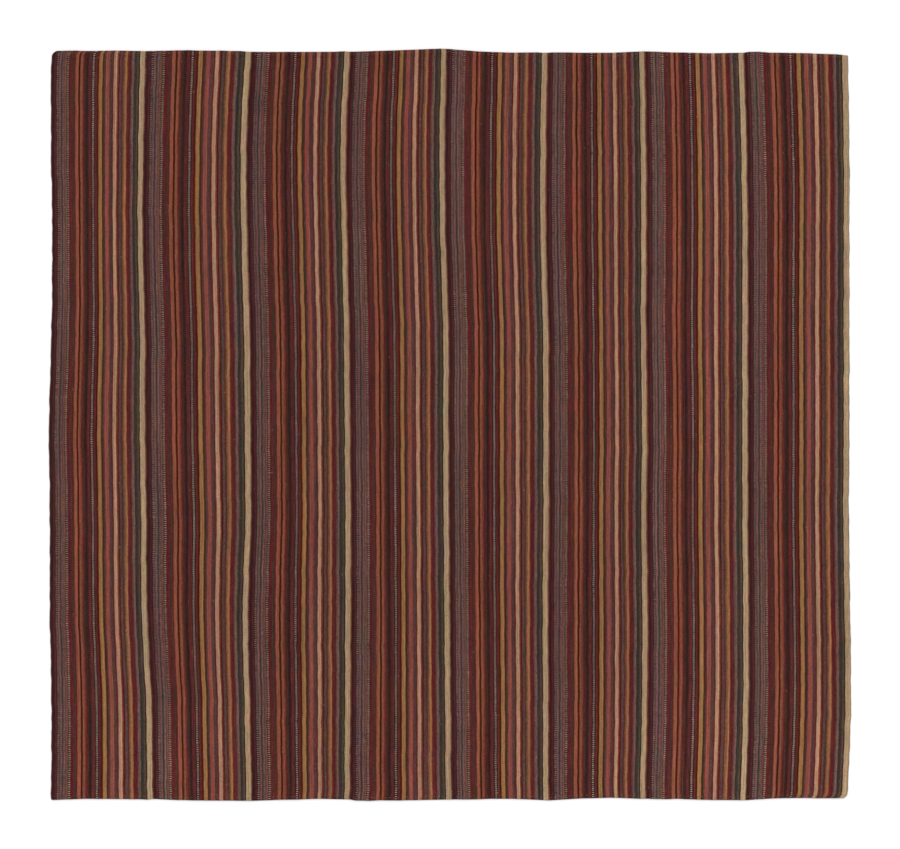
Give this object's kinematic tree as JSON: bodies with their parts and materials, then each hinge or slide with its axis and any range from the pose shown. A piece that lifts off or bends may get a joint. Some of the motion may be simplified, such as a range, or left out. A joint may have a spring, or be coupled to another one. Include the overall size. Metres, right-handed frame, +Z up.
{
  "type": "flatweave rug",
  "caption": "Flat-woven wool rug of narrow warp-striped panels sewn side by side, with turned hems, lying flat.",
  "frame": {"origin": "on the floor, under the middle of the rug's bounding box", "axes": "+X across the stripes, from the first panel to the last, +Y along the stripes, +Z up"},
  "size_m": [1.97, 1.848, 0.0046],
  "materials": {
    "striped_wool": "matt warp-faced wool in lengthwise stripes of wine, rust, ochre, dusty pink, dark green and cream"
  },
  "bodies": {
    "root": {"panel_1": "striped_wool", "panel_2": "striped_wool", "panel_3": "striped_wool", "panel_4": "striped_wool", "panel_5": "striped_wool", "panel_6": "striped_wool", "panel_7": "striped_wool", "panel_8": "striped_wool"}
  },
  "joints": []
}
